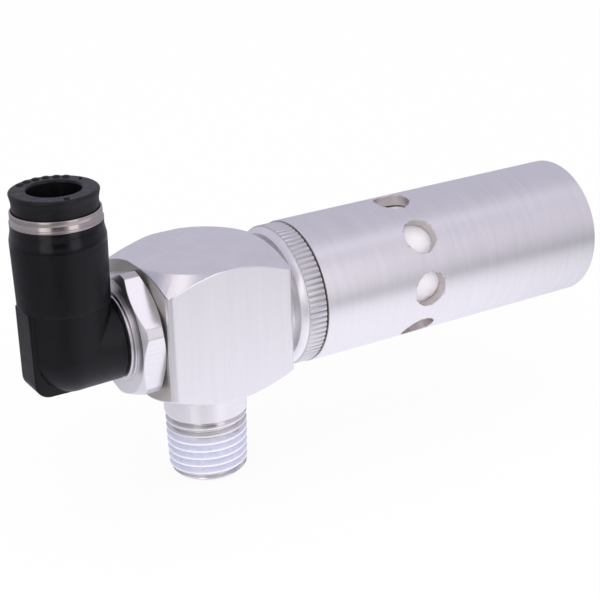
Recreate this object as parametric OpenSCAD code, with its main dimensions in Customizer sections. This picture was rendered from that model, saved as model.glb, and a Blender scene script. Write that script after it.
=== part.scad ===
// Vacuum ejector: a square block with a taper-threaded vacuum port below, a
// swivelling push-in elbow for the supply air on the left, and a silencer with
// a perforated cover on the right. Millimetres, +Z up. The origin is the centre
// of the taper thread's gauge plane; +X runs along the ejector axis towards
// the silencer.

/* [Port thread] */
// radius of the crests at the gauge plane (R 1/4)
thread_gauge_radius = 6.5785; // [5.5:0.0005:8.5]
// distance of the gauge plane from the tip
thread_gauge_length = 6.0; // [4:0.1:8]
// distance between two crests
thread_pitch = 1.337; // [0.9:0.001:1.9]
// depth of the thread
thread_depth = 0.74; // [0.4:0.01:1]
// width of the flat on a crest
thread_crest = 0.3; // [0.1:0.01:0.5]
// width of the flat in a root
thread_root = 0.2; // [0.1:0.01:0.4]
// length of the thread from the tip to the neck
thread_length = 10.8; // [8:0.1:16]
// height of the lead-in cone at the tip
thread_lead = 0.75; // [0.3:0.05:1.5]
// radius of the vacuum passage
port_bore_radius = 3.9; // [2:0.1:4.5]
// thickness of the sealant coat over the thread
sealant_thickness = 0.1; // [0.05:0.01:0.15]
// height at which the coat starts above the tip
sealant_from = 1.25; // [0.8:0.05:3]
// length of bare thread left under the neck
sealant_bare = 2.8; // [1:0.1:5]

/* [Block] */
// side of the square bar
block_width = 22; // [20:0.1:30]
// height of the block
block_height = 22; // [20:0.1:30]
// rounding of the bar's long edges
block_edge_radius = 1.0; // [0.3:0.1:2]
// radius of the flat that the turned chamfer leaves on top
block_face_radius = 11.05; // [9.5:0.05:13]
// angle of the turned chamfers
block_chamfer_angle = 30; // [15:1:45]
// radius of the turned neck between block and thread
neck_radius = 6.85; // [6.8:0.05:8.5]
// length of the neck
neck_length = 5.4; // [3:0.1:10]
// chamfer on the neck's lower edge
neck_chamfer = 0.2; // [0.1:0.05:0.5]
// radius of the threaded sockets left and right
socket_radius = 7.05; // [6.5:0.05:7.5]
// half the length of the chamber between the sockets
chamber_half_length = 4.2; // [3.5:0.1:5]
// radius of the suction chamber
chamber_radius = 5.4; // [5:0.1:6]
// radius of the O-ring recess at each socket's mouth
recess_radius = 8.25; // [8:0.05:8.6]
// depth of the O-ring recess
recess_depth = 1.3; // [1.2:0.05:2]

/* [Hex plug] */
// width across the flats
hex_flats = 19; // [18:0.1:24]
// radius the hexagon's corners are turned to
hex_turned_radius = 10.55; // [10:0.05:13]
// thickness of the hexagon
hex_thickness = 3.9; // [3:0.1:7]
// radius of the flat faces inside the chamfers
hex_face_radius = 9.4; // [8.5:0.1:11]
// angle of the chamfers
hex_chamfer_angle = 30; // [15:1:45]
// turn of the hexagon about the ejector axis
hex_turn = 12; // [0:1:60]
// bore for the stud's thread
stud_socket_radius = 4.85; // [4.5:0.05:5.2]
// depth of the stud's socket
stud_socket_depth = 6.0; // [4:0.1:7]
// bore for the nozzle's head
nozzle_seat_radius = 4.0; // [3.5:0.05:4.4]
// length of the bore for the nozzle's head
nozzle_seat_length = 2.7; // [2:0.1:3.5]
// bore for the nozzle's stem
nozzle_stem_bore = 2.6; // [2.3:0.05:3]

/* [Swivel stud] */
// radius of the stud inside the elbow
stud_radius = 5.0; // [4.5:0.05:5.5]
// length of the stud inside the elbow
stud_reach = 4.6; // [4.4:0.1:5.5]
// radius of the collar's small step, next to the elbow
stud_step_radius = 6.9; // [6.4:0.05:7.2]
// width of the small step
stud_step_width = 0.3; // [0.2:0.05:0.6]
// radius of the stud's collar
stud_collar_radius = 7.5; // [7:0.05:8.5]
// width of the collar
stud_collar_width = 0.45; // [0.3:0.05:1]
// air passage through the stud
stud_bore_radius = 2.6; // [2:0.1:3.2]
// length of the stud's threaded end
stud_thread_length = 5.7; // [4:0.1:6.5]
// radius of the groove that the elbow snaps into
snap_groove_radius = 4.5; // [4.2:0.05:4.8]
// width of the snap groove
snap_groove_width = 0.8; // [0.6:0.05:1.2]
// width of the O-ring groove
stud_seal_width = 1.7; // [1.4:0.05:2]

/* [Elbow] */
// distance from the thread axis to the upright leg's axis
elbow_offset = 23.05; // [22:0.05:30]
// distance from the thread axis to the elbow's open end
elbow_end_offset = 15.95; // [15.8:0.05:17]
// height of the upright leg's top above the ejector axis
elbow_rise = 20.7; // [19:0.1:30]
// radius of the upright leg at its top band
elbow_neck_radius = 7.0; // [6.8:0.05:8]
// radius of the upright leg below the band
elbow_leg_radius = 7.3; // [7:0.05:8.5]
// radius of the upright leg at its lower end, with the mould's draft
elbow_leg_foot_radius = 7.1; // [6.9:0.05:8]
// height of the smooth neck under the metal band
elbow_neck_height = 1.0; // [0.6:0.1:3]
// height of the flare from the neck to the leg
elbow_flare_height = 1.5; // [0.4:0.1:2]
// height of the glossy ring below the neck
elbow_gloss_height = 0.6; // [0.3:0.1:2]
// height of the ledge above the ejector axis
elbow_ledge_height = 7.6; // [7:0.1:9]
// radius of the bend's round corner and of the upright body above it
bend_radius = 6.8; // [6.7:0.05:7.8]
// how far the rib down the bend's back stands out from it
rib_step = 0.06; // [0.04:0.01:0.4]
// half the width of that rib
rib_half_width = 2.7; // [1:0.05:4]
// depth of the rib's underside below the ejector axis
rib_drop = 6.2; // [5.5:0.05:6.7]
// rounding of the rib's lower corner
rib_corner_radius = 2.5; // [1:0.1:4]
// radius of the level leg at the bend
elbow_arm_radius = 6.78; // [6.6:0.05:8]
// radius of the level leg at its open end
elbow_arm_end_radius = 6.65; // [6.5:0.05:8]
// chamfer on the level leg's open end
elbow_arm_chamfer = 0.15; // [0.05:0.05:0.4]
// air passage from the tube down to the stud
elbow_channel_radius = 2.6; // [2:0.1:3.2]
// width of the lip that snaps into the stud's groove
snap_lip_width = 0.5; // [0.3:0.05:0.7]

/* [Tube grip] */
// outer radius of the tube that is pushed in
tube_radius = 4.0; // [3:0.1:4]
// height of the tube stop above the ejector axis
tube_stop_height = 8.9; // [8.5:0.1:10]
// radius of the chamber for seal and claw
grip_chamber_radius = 5.9; // [5.6:0.05:6.1]
// height of the tube's guide bore above the stop
tube_guide_height = 4.2; // [3:0.1:5]
// height of the lip seal
seal_height = 2.4; // [2:0.1:3]
// height of the claw's guide ring
claw_guide_height = 1.7; // [1.5:0.1:2]
// radius of the claw at its rim
claw_radius = 5.6; // [5.3:0.05:5.8]
// radius at the tips of the claw's teeth
claw_tip_radius = 4.02; // [3.9:0.01:4.2]
// drop from the claw's rim to the tips of its teeth
claw_drop = 1.3; // [0.8:0.1:1.5]
// thickness of the claw's sheet
claw_sheet = 0.25; // [0.15:0.05:0.3]
// number of the claw's teeth
claw_teeth = 10; // [6:1:12]
// width of the slot between two teeth
claw_slot = 0.5; // [0.3:0.05:0.8]
// outer radius of the metal band
band_radius = 6.88; // [6.6:0.01:7.5]
// radius of the band's lower lip
band_lip_radius = 7.03; // [6.9:0.01:7.8]
// height of the band's lower lip
band_lip_height = 0.4; // [0.2:0.05:0.8]
// height of the band above the elbow
band_height = 1.9; // [1.6:0.1:3]
// wall of the band round the release ring
band_wall = 0.27; // [0.2:0.01:0.6]
// thickness of the band's floor
band_floor = 0.25; // [0.2:0.05:0.5]
// depth of the two fine grooves round the band
band_groove = 0.06; // [0.03:0.01:0.1]
// wall of the band's skirt inside the elbow
skirt_wall = 0.35; // [0.25:0.05:0.5]
// length of the band's skirt inside the elbow
skirt_length = 2.8; // [2:0.1:3]

/* [Release ring] */
// radius of the ring's head at its top
release_top_radius = 6.8; // [6.55:0.05:7.4]
// radius of the ring's head where it enters the band
release_head_radius = 6.5; // [6.3:0.01:7]
// height of the ring's top above the band
release_height = 2.95; // [2:0.05:5]
// how far the ring can be pressed down
release_travel = 1.2; // [0.6:0.05:1.4]
// radius of the ring's neck
release_neck_radius = 4.9; // [4.6:0.05:5]
// radius of the catch under the band's floor
release_catch_radius = 5.3; // [5.15:0.05:5.4]
// height of the catch
release_catch_height = 0.6; // [0.4:0.05:1]
// radius of the flared mouth
release_mouth_radius = 4.3; // [4.2:0.05:4.8]
// rounding chamfer on the head's top edge
release_edge = 0.25; // [0.1:0.05:0.6]

/* [Nozzle and diffuser] */
// radius of the nozzle's throat
nozzle_throat = 0.5; // [0.3:0.05:0.9]
// radius of the nozzle's tip
nozzle_tip_radius = 1.3; // [1.1:0.05:1.6]
// distance of the nozzle's tip past the thread axis
nozzle_tip_offset = 0.4; // [-1:0.1:1]
// length of the cone that leads to the tip
nozzle_taper = 2.2; // [1:0.1:3]
// radius of the nozzle's inlet
nozzle_inlet = 2.0; // [1.5:0.1:2]
// distance of the diffuser's mouth from the thread axis
diffuser_mouth_offset = 1.9; // [1.6:0.1:2.5]
// radius of the diffuser's mouth
diffuser_mouth = 2.3; // [1.8:0.1:3]
// radius of the diffuser's throat
diffuser_throat = 1.0; // [0.6:0.05:1.6]
// length of the cone from the mouth to the throat
diffuser_cone = 5.5; // [4:0.5:8]
// length of the straight throat
diffuser_straight = 7; // [4:0.5:10]
// radius of the diffuser's outlet
diffuser_outlet = 2.4; // [1.6:0.1:2.6]
// distance of the diffuser's outlet from the thread axis
diffuser_end_offset = 32; // [26:0.5:40]
// outer radius of the diffuser in its seat
diffuser_radius = 3.95; // [3.6:0.05:4.2]
// outer radius of the diffuser's tail
diffuser_tail_radius = 3.3; // [2.9:0.05:3.6]
// radius of the diffuser's flange
diffuser_flange_radius = 4.8; // [4.4:0.05:4.9]
// thickness of the diffuser's flange
diffuser_flange = 1.3; // [0.8:0.1:1.6]

/* [Silencer] */
// radius of the base's waist next to the block
waist_radius = 8.9; // [8.6:0.05:9.5]
// width of the waist
waist_width = 1.4; // [0.8:0.1:3]
// height of the collar's cone
collar_cone_rise = 1.1; // [0.5:0.1:1.5]
// width of the collar's cone
collar_cone = 0.85; // [0.5:0.05:2]
// how far the knurled collar stands back from the cover's surface
collar_step = 0.2; // [0:0.05:0.5]
// width of the knurled collar
collar_width = 3.65; // [2:0.05:6]
// number of the knurl's ridges
knurl_ridges = 78; // [60:1:90]
// depth of the knurl
knurl_depth = 0.22; // [0.1:0.01:0.4]
// width of a knurl groove at its mouth
knurl_groove = 0.46; // [0.2:0.01:0.5]
// width of the plain lands beside the knurl
knurl_land = 0.25; // [0.2:0.05:0.6]
// width of the parting groove between collar and cover
parting_width = 0.14; // [0.08:0.01:0.2]
// depth of the parting groove
parting_depth = 0.6; // [0.3:0.05:0.8]
// outer radius of the cover
cover_radius = 12; // [11.8:0.05:14]
// wall of the cover
cover_wall = 1.8; // [1:0.1:2.5]
// length of the cover
cover_length = 56.3; // [50:0.1:80]
// thickness of the cover's closed end
cover_end = 2; // [1:0.1:4]
// chamfer on the cover's edges
cover_chamfer = 0.25; // [0.1:0.05:0.6]
// length of the base's threaded end inside the cover
cover_thread_length = 5.5; // [4:0.1:8]
// number of exhaust holes
hole_count = 8; // [4:1:12]
// radius of an exhaust hole
hole_radius = 3.0; // [1.5:0.05:3.5]
// distance of the holes from the cover's open edge
hole_offset = 20.2; // [12:0.1:40]
// turn of the row of holes about the ejector axis
hole_turn = -2.6; // [-22:0.1:22]
// gap between the cover's wall and the sound-absorbing sleeve
element_gap = 0.25; // [0.2:0.05:1]
// wall of the sound-absorbing sleeve
element_wall = 3.4; // [2:0.1:4]
// thickness of the sound-absorbing pad at the closed end
pad_thickness = 4; // [2:0.1:6]

/* [Fits] */
// radial clearance of screwed, pressed and seated pieces
seat_clearance = 0.05; // [0.02:0.01:0.1]
// radial clearance of the swivel and of the release ring's bore
running_clearance = 0.06; // [0.03:0.01:0.1]
// clearance round the O-rings
ring_clearance = 0.03; // [0.01:0.01:0.08]
// end clearance between neighbouring pieces
end_clearance = 0.1; // [0.05:0.01:0.3]
// end clearance between the elbow and the stud's collar
swivel_gap = 0.3; // [0.1:0.05:0.6]

/* [Hidden] */
$fn = 96;
eps = 0.01;

// heights from the gauge plane, and the block's faces
tip_z = -thread_gauge_length;
neck_z = tip_z + thread_length;
block_bottom = neck_z + neck_length;
axis_z = block_bottom + block_height / 2;
half = block_width / 2;
corner_centre = half - block_edge_radius;
corner_reach = corner_centre * sqrt(2) + block_edge_radius;
chamfer_drop = (corner_reach - block_face_radius) * tan(block_chamfer_angle);

// hex plug
hex_front = -half - hex_thickness;
hex_drop = (hex_turned_radius - hex_face_radius) * tan(hex_chamfer_angle);
spigot_radius = socket_radius - seat_clearance;
plug_end = -chamber_half_length - end_clearance;
stud_socket_end = hex_front + stud_socket_depth;
nozzle_seat_end = stud_socket_end + nozzle_seat_length;

// stud
collar_face = hex_front - stud_collar_width;
step_face = collar_face - stud_step_width;
stud_tip = -elbow_end_offset - stud_reach;
stud_thread_radius = stud_socket_radius - seat_clearance;
swivel_bore = stud_radius + running_clearance;
snap_groove_from = -elbow_end_offset - snap_groove_width - 0.35;
stud_seal_from = snap_groove_from - stud_seal_width - 0.55;
stud_seal_depth = stud_seal_width * 0.62;

// elbow
leg_top = axis_z + elbow_rise;
ledge_z = axis_z + elbow_ledge_height;
cavity_end = -elbow_offset - elbow_channel_radius - 0.6;
cavity_radius = swivel_bore - 0.5;

// tube grip, from the stop upwards
tube_bore = tube_radius + 0.1;
stop_z = axis_z + tube_stop_height;
seal_floor = stop_z + tube_guide_height;
seal_from = seal_floor + end_clearance;
seal_top = seal_from + seal_height;
guide_from = seal_top + end_clearance;
guide_top = guide_from + claw_guide_height;
claw_top = guide_top + claw_sheet + end_clearance;
skirt_foot = leg_top - skirt_length;
skirt_radius = grip_chamber_radius - seat_clearance;
band_top = leg_top + band_height;
band_bore = band_radius - band_wall;
floor_top = leg_top + band_floor;
floor_bore = release_neck_radius + running_clearance;

// release ring
release_top = band_top + release_height;
head_foot = floor_top + release_travel + end_clearance / 2;
catch_top = leg_top - end_clearance;
nose_foot = claw_top + release_travel + end_clearance - claw_drop * 0.3;

// nozzle and diffuser
nozzle_head_radius = nozzle_seat_radius - seat_clearance;
nozzle_stem_radius = nozzle_stem_bore - seat_clearance;
base_end = chamber_half_length + end_clearance;
flange_from = base_end - diffuser_flange;
diffuser_bore = diffuser_radius + seat_clearance;

// silencer base and cover
collar_radius = cover_radius - collar_step;
collar_foot_radius = collar_radius - collar_cone_rise;
waist_end = half + waist_width;
collar_from = waist_end + collar_cone;
collar_end = collar_from + collar_width;
cover_bore = cover_radius - cover_wall;
base_thread_radius = cover_bore - seat_clearance;
cover_end_x = collar_end + cover_length;
base_tail = collar_end + cover_thread_length;
element_radius = cover_bore - element_gap;
pad_end = cover_end_x - cover_end - end_clearance;
pad_from = pad_end - pad_thickness;
sleeve_from = base_tail + end_clearance;
sleeve_end = pad_from - end_clearance;
hole_x = collar_end + hole_offset;

// O-rings: section and centre radius from the groove they lie in
mouth_ring_section = (recess_radius - spigot_radius) / 2 - ring_clearance;
mouth_ring_radius = (recess_radius + spigot_radius) / 2;

// a profile of [radius, x] points turned about the ejector axis
module turned(profile) {
    translate([0, 0, axis_z]) rotate([0, 90, 0])
        rotate_extrude() polygon(profile);
}

// a plain bore or bar along the ejector axis
module bar_x(radius, from, to) {
    translate([from, 0, axis_z]) rotate([0, 90, 0])
        cylinder(r = radius, h = to - from);
}

// a profile of [radius, z] points turned about the upright leg's axis
module turned_leg(profile) {
    translate([-elbow_offset, 0, 0]) rotate_extrude() polygon(profile);
}

module bar_leg(radius, from, to) {
    translate([-elbow_offset, 0, from]) cylinder(r = radius, h = to - from);
}

// an O-ring about the ejector axis
module o_ring(centre_radius, section, x) {
    translate([x, 0, axis_z]) rotate([0, 90, 0]) rotate_extrude()
        translate([centre_radius, 0]) circle(r = section, $fn = 48);
}

// the taper thread, as rings with flat crests on the 1:16 cone
function crest_radius(z) = thread_gauge_radius + z / 32;
thread_turns = floor((thread_length - thread_lead) / thread_pitch);
flank = (thread_pitch - thread_crest - thread_root) / 2;

function thread_rings(grow) = [
    for (k = [thread_turns : -1 : 0])
        let (z = neck_z - (k + 0.72) * thread_pitch,
             r = crest_radius(z) + grow)
        each [[r - thread_depth, z - thread_crest / 2 - flank],
              [r, z - thread_crest / 2],
              [r, z + thread_crest / 2],
              [r - thread_depth, z + thread_crest / 2 + flank]]];

module thread_form(grow, from, to) {
    intersection() {
        rotate_extrude() polygon(concat(
            [[0, tip_z - thread_pitch],
             [crest_radius(tip_z) - thread_depth + grow, tip_z - thread_pitch]],
            thread_rings(grow),
            [[crest_radius(neck_z) - thread_depth + grow, neck_z + eps],
             [0, neck_z + eps]]));
        rotate_extrude() polygon([
            [0, tip_z], [crest_radius(tip_z) + grow - thread_lead, tip_z],
            [crest_radius(tip_z) + grow + eps, tip_z + thread_lead],
            [neck_radius + thread_pitch, tip_z + thread_lead + thread_pitch],
            [neck_radius + thread_pitch, neck_z + 1], [0, neck_z + 1]]);
        translate([0, 0, tip_z + from])
            cylinder(r = neck_radius + 2 * thread_pitch, h = to - from);
    }
}

module square_bar() {
    for (a = [0, 90]) rotate(a)
        translate([-half, -corner_centre, block_bottom])
            cube([block_width, 2 * corner_centre, block_height]);
    for (a = [0 : 90 : 270]) rotate(a)
        translate([corner_centre, corner_centre, block_bottom])
            cylinder(r = block_edge_radius, h = block_height);
}

module ejector_body() {
    color("#cfcdd8") difference() {
        union() {
            intersection() {
                square_bar();
                rotate_extrude() polygon([
                    [0, block_bottom], [block_face_radius, block_bottom],
                    [corner_reach + eps, block_bottom + chamfer_drop],
                    [corner_reach + eps, block_bottom + block_height - chamfer_drop],
                    [block_face_radius, block_bottom + block_height],
                    [0, block_bottom + block_height]]);
            }
            rotate_extrude() polygon([
                [0, neck_z], [neck_radius - neck_chamfer, neck_z],
                [neck_radius, neck_z + neck_chamfer],
                [neck_radius, block_bottom + eps], [0, block_bottom + eps]]);
            thread_form(0, -1, thread_length + 2);
        }
        translate([0, 0, tip_z - 1])
            cylinder(r = port_bore_radius, h = axis_z - tip_z + 1);
        bar_x(chamber_radius, -chamber_half_length - eps, chamber_half_length + eps);
        for (a = [0, 180]) rotate(a) {
            bar_x(socket_radius, chamber_half_length, half + 1);
            bar_x(recess_radius, half - recess_depth, half + 1);
        }
    }
}

module thread_sealant() {
    color("#f4f5fb") difference() {
        thread_form(sealant_thickness, sealant_from, thread_length - sealant_bare);
        thread_form(0, -1, thread_length + 2);
    }
}

module hex_plug() {
    color("#d9d7df") difference() {
        union() {
            intersection() {
                translate([hex_front, 0, axis_z]) rotate([0, 90, 0]) rotate(hex_turn)
                    cylinder(r = hex_flats / 2 / cos(30), h = hex_thickness, $fn = 6);
                turned([[0, hex_front], [hex_face_radius, hex_front],
                        [hex_turned_radius, hex_front + hex_drop],
                        [hex_turned_radius, -half - hex_drop],
                        [hex_face_radius, -half], [0, -half]]);
            }
            bar_x(spigot_radius, -half - eps, plug_end);
        }
        bar_x(stud_socket_radius, hex_front - 1, stud_socket_end);
        bar_x(nozzle_seat_radius, stud_socket_end - eps, nozzle_seat_end);
        bar_x(nozzle_stem_bore, nozzle_seat_end - eps, plug_end + 1);
    }
}

module plug_o_ring() {
    color("#26262a")
        o_ring(mouth_ring_radius, mouth_ring_section,
               -half + mouth_ring_section + ring_clearance);
}

module base_o_ring() {
    color("#26262a")
        o_ring(mouth_ring_radius, mouth_ring_section,
               half - mouth_ring_section - ring_clearance);
}

nozzle_ring_section = 0.55;
nozzle_groove_from = stud_socket_end + (nozzle_seat_length - 2.4 * nozzle_ring_section) / 2;

module nozzle() {
    tip = nozzle_tip_offset;
    color("#c9a55a") difference() {
        turned([[0, stud_socket_end + end_clearance],
                [nozzle_head_radius, stud_socket_end + end_clearance],
                [nozzle_head_radius, nozzle_groove_from],
                [nozzle_head_radius - 2 * nozzle_ring_section, nozzle_groove_from],
                [nozzle_head_radius - 2 * nozzle_ring_section,
                 nozzle_groove_from + 2.4 * nozzle_ring_section],
                [nozzle_head_radius, nozzle_groove_from + 2.4 * nozzle_ring_section],
                [nozzle_head_radius, nozzle_seat_end],
                [nozzle_stem_radius, nozzle_seat_end],
                [nozzle_stem_radius, tip - nozzle_taper],
                [nozzle_tip_radius, tip], [0, tip]]);
        turned([[0, stud_socket_end - 1], [nozzle_inlet, stud_socket_end - 1],
                [nozzle_inlet, stud_socket_end + 1.5],
                [nozzle_throat, tip - 2.4], [nozzle_throat, tip - 1.4],
                [nozzle_throat + 0.2, tip + eps], [0, tip + eps]]);
    }
}

module nozzle_o_ring() {
    color("#26262a")
        o_ring(nozzle_seat_radius - nozzle_ring_section - ring_clearance,
               nozzle_ring_section - ring_clearance,
               nozzle_groove_from + 1.2 * nozzle_ring_section);
}

module swivel_stud() {
    g = snap_groove_from;
    s = stud_seal_from;
    deep = stud_radius - stud_seal_depth;
    color("#c6beae") difference() {
        turned([[0, stud_tip], [stud_radius - 0.3, stud_tip],
                [stud_radius, stud_tip + 0.3], [stud_radius, s], [deep, s],
                [deep, s + stud_seal_width], [stud_radius, s + stud_seal_width],
                [stud_radius, g], [snap_groove_radius, g],
                [snap_groove_radius, g + snap_groove_width],
                [stud_radius, g + snap_groove_width],
                [stud_radius, step_face], [stud_step_radius, step_face],
                [stud_step_radius, collar_face], [stud_collar_radius - 0.1, collar_face],
                [stud_collar_radius, collar_face + 0.1], [stud_collar_radius, hex_front],
                [stud_thread_radius, hex_front],
                [stud_thread_radius, hex_front + stud_thread_length - 0.4],
                [stud_thread_radius - 0.4, hex_front + stud_thread_length],
                [0, hex_front + stud_thread_length]]);
        bar_x(stud_bore_radius, stud_tip - 1, half);
    }
}

module stud_o_ring() {
    section = stud_seal_depth / 2 + running_clearance / 2 - ring_clearance;
    color("#26262a")
        o_ring(swivel_bore - ring_clearance - section, section,
               stud_seal_from + stud_seal_width / 2);
}

module bend_rib() {
    r = rib_corner_radius;
    back = bend_radius + rib_step;
    translate([-elbow_offset, rib_half_width, axis_z]) rotate([90, 0, 0])
        linear_extrude(2 * rib_half_width) union() {
            translate([-back, r - rib_drop])
                square([back, rib_drop - r + elbow_ledge_height + eps]);
            translate([r - back, -rib_drop]) square([back - r, r + eps]);
            translate([r - back, r - rib_drop]) circle(r = r);
        }
}

module elbow_outside() {
    leg_gloss = leg_top - elbow_neck_height - elbow_flare_height;
    turned_leg([[0, ledge_z], [elbow_leg_foot_radius, ledge_z],
                [elbow_leg_radius, leg_gloss - elbow_gloss_height],
                [elbow_leg_radius, leg_gloss],
                [elbow_neck_radius, leg_top - elbow_neck_height],
                [elbow_neck_radius, leg_top], [0, leg_top]]);
    bar_leg(bend_radius, axis_z, ledge_z + eps);
    translate([-elbow_offset, 0, axis_z]) sphere(r = bend_radius);
    bend_rib();
    turned([[0, -elbow_offset], [elbow_arm_radius, -elbow_offset],
            [elbow_arm_end_radius, -elbow_end_offset - elbow_arm_chamfer],
            [elbow_arm_end_radius - elbow_arm_chamfer, -elbow_end_offset],
            [0, -elbow_end_offset]]);
}

module elbow_body() {
    lip_from = snap_groove_from + (snap_groove_width - snap_lip_width) / 2;
    lip_radius = snap_groove_radius + running_clearance;
    color("#1f2024") difference() {
        elbow_outside();
        turned([[0, cavity_end], [cavity_radius, cavity_end],
                [cavity_radius, stud_tip - end_clearance],
                [swivel_bore, stud_tip - end_clearance],
                [swivel_bore, lip_from], [lip_radius, lip_from],
                [lip_radius, lip_from + snap_lip_width],
                [swivel_bore, lip_from + snap_lip_width],
                [swivel_bore, 0], [0, 0]]);
        bar_leg(elbow_channel_radius, axis_z, stop_z + eps);
        bar_leg(tube_bore, stop_z, seal_floor + eps);
        bar_leg(grip_chamber_radius, seal_floor, leg_top + 1);
    }
}

module tube_seal() {
    out = grip_chamber_radius - seat_clearance;
    lip = tube_radius + running_clearance;
    color("#2b2b2f") turned_leg([
        [lip + 0.25, seal_from], [out, seal_from], [out, seal_top],
        [lip + 0.9, seal_top], [lip + 0.5, seal_top - 0.6],
        [lip, seal_top - 0.9], [lip, seal_top - 1.3]]);
}

module claw_guide() {
    out = grip_chamber_radius - seat_clearance;
    color("#34353a") turned_leg([
        [tube_bore, guide_from], [out, guide_from], [out, guide_top],
        [claw_radius, guide_top],
        [tube_bore, guide_top - (claw_radius - tube_bore) * claw_drop
                    / (claw_radius - claw_tip_radius)]]);
}

module lock_claw() {
    rim = claw_radius - 0.35;
    color("#b9b9bd") difference() {
        turned_leg([
            [claw_tip_radius, claw_top - claw_sheet - claw_drop],
            [rim, claw_top - claw_sheet], [claw_radius, claw_top - claw_sheet],
            [claw_radius, claw_top], [rim, claw_top],
            [claw_tip_radius, claw_top - claw_drop]]);
        for (k = [0 : claw_teeth - 1])
            translate([-elbow_offset, 0, claw_top - claw_sheet - claw_drop - eps])
                rotate(k * 360 / claw_teeth) translate([0, -claw_slot / 2, 0])
                    cube([rim, claw_slot, claw_sheet + claw_drop + 2 * eps]);
    }
}

module retaining_band() {
    lip_top = leg_top + band_lip_height;
    mid = (lip_top + band_top) / 2;
    g = band_groove;
    skirt_bore = skirt_radius - skirt_wall;
    color("#cbbfb0") turned_leg([
        [skirt_bore, skirt_foot], [skirt_radius, skirt_foot],
        [skirt_radius, leg_top], [band_lip_radius, leg_top],
        [band_lip_radius, lip_top - 0.1], [band_lip_radius - 0.1, lip_top],
        [band_radius, lip_top], [band_radius, mid - 0.25],
        [band_radius - g, mid - 0.15], [band_radius - g, mid - 0.05],
        [band_radius, mid + 0.05], [band_radius, band_top - 0.1],
        [band_radius - 0.1, band_top], [band_bore, band_top],
        [band_bore, floor_top], [floor_bore, floor_top],
        [floor_bore, leg_top], [skirt_bore, leg_top]]);
}

module release_ring() {
    color("#25262a") turned_leg([
        [tube_bore, nose_foot], [release_neck_radius - 0.4, nose_foot],
        [release_neck_radius, nose_foot + 0.4],
        [release_neck_radius, catch_top - release_catch_height - 0.3],
        [release_catch_radius, catch_top - release_catch_height],
        [release_catch_radius, catch_top], [release_neck_radius, catch_top],
        [release_neck_radius, head_foot], [release_head_radius, head_foot],
        [release_head_radius, band_top + release_travel + end_clearance],
        [release_top_radius, release_top - release_edge],
        [release_top_radius - release_edge, release_top],
        [release_mouth_radius, release_top],
        [tube_bore, release_top - (release_mouth_radius - tube_bore) * 1.5]]);
}

module knurl() {
    pitch = 360 / knurl_ridges;
    mouth = knurl_groove / collar_radius * 90 / PI;
    floor_half = mouth * 0.3;
    deep = collar_radius - knurl_depth;
    translate([collar_from + knurl_land, 0, axis_z]) rotate([0, 90, 0])
        linear_extrude(collar_width - 2 * knurl_land) polygon([
            for (k = [0 : knurl_ridges - 1])
                for (p = [[collar_radius, mouth], [collar_radius, pitch - mouth],
                          [deep, pitch - floor_half], [deep, pitch + floor_half]])
                    p[0] * [cos(k * pitch + p[1]), sin(k * pitch + p[1])]]);
}

module silencer_base() {
    root = collar_radius - knurl_depth;
    color("#cfcdd6") difference() {
        union() {
            turned([[0, base_end], [spigot_radius - 0.3, base_end],
                    [spigot_radius, base_end + 0.3], [spigot_radius, half],
                    [waist_radius, half], [waist_radius, waist_end],
                    [collar_foot_radius, waist_end], [root, collar_from],
                    [root, collar_end - parting_width],
                    [root - parting_depth, collar_end - parting_width],
                    [root - parting_depth, collar_end], [base_thread_radius, collar_end],
                    [base_thread_radius, base_tail - 0.5],
                    [base_thread_radius - 0.5, base_tail], [0, base_tail]]);
            knurl();
        }
        bar_x(diffuser_bore, 0, base_tail + 1);
    }
}

diffuser_ring_section = 0.6;
diffuser_groove_from = base_end + 2;

module diffuser() {
    throat_from = diffuser_mouth_offset + diffuser_cone;
    step = base_tail - 1;
    deep = diffuser_radius - 2 * diffuser_ring_section;
    g = diffuser_groove_from;
    w = 2.4 * diffuser_ring_section;
    color("#d6c07c") difference() {
        turned([[0, diffuser_mouth_offset], [diffuser_mouth + 0.4, diffuser_mouth_offset],
                [diffuser_flange_radius, flange_from],
                [diffuser_flange_radius, base_end], [diffuser_radius, base_end],
                [diffuser_radius, g], [deep, g], [deep, g + w],
                [diffuser_radius, g + w], [diffuser_radius, step],
                [diffuser_tail_radius, step + 0.5],
                [diffuser_tail_radius, diffuser_end_offset], [0, diffuser_end_offset]]);
        turned([[0, diffuser_mouth_offset - eps],
                [diffuser_mouth, diffuser_mouth_offset - eps],
                [diffuser_throat, throat_from],
                [diffuser_throat, throat_from + diffuser_straight],
                [diffuser_outlet, diffuser_end_offset + eps],
                [0, diffuser_end_offset + eps]]);
    }
}

module diffuser_o_ring() {
    color("#26262a")
        o_ring(diffuser_bore - diffuser_ring_section - ring_clearance,
               diffuser_ring_section - ring_clearance,
               diffuser_groove_from + 1.2 * diffuser_ring_section);
}

module silencer_cover() {
    c = cover_chamfer;
    color("#cbc9d4") difference() {
        turned([[cover_bore + c, collar_end], [cover_radius - c, collar_end],
                [cover_radius, collar_end + c], [cover_radius, cover_end_x - c],
                [cover_radius - c, cover_end_x], [0, cover_end_x],
                [0, cover_end_x - cover_end], [cover_bore, cover_end_x - cover_end],
                [cover_bore, collar_end + c]]);
        for (k = [0 : hole_count - 1])
            translate([hole_x, 0, axis_z])
                rotate([90 - hole_turn - k * 360 / hole_count, 0, 0])
                    translate([0, 0, cover_bore - 1])
                        cylinder(r = hole_radius, h = cover_wall + 2, $fn = 64);
    }
}

module silencer_element() {
    color("#f3f3f1") turned([
        [element_radius - element_wall, sleeve_from], [element_radius, sleeve_from],
        [element_radius, sleeve_end], [element_radius - element_wall, sleeve_end]]);
}

module element_pad() {
    color("#f3f3f1") bar_x(element_radius, pad_from, pad_end);
}

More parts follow.
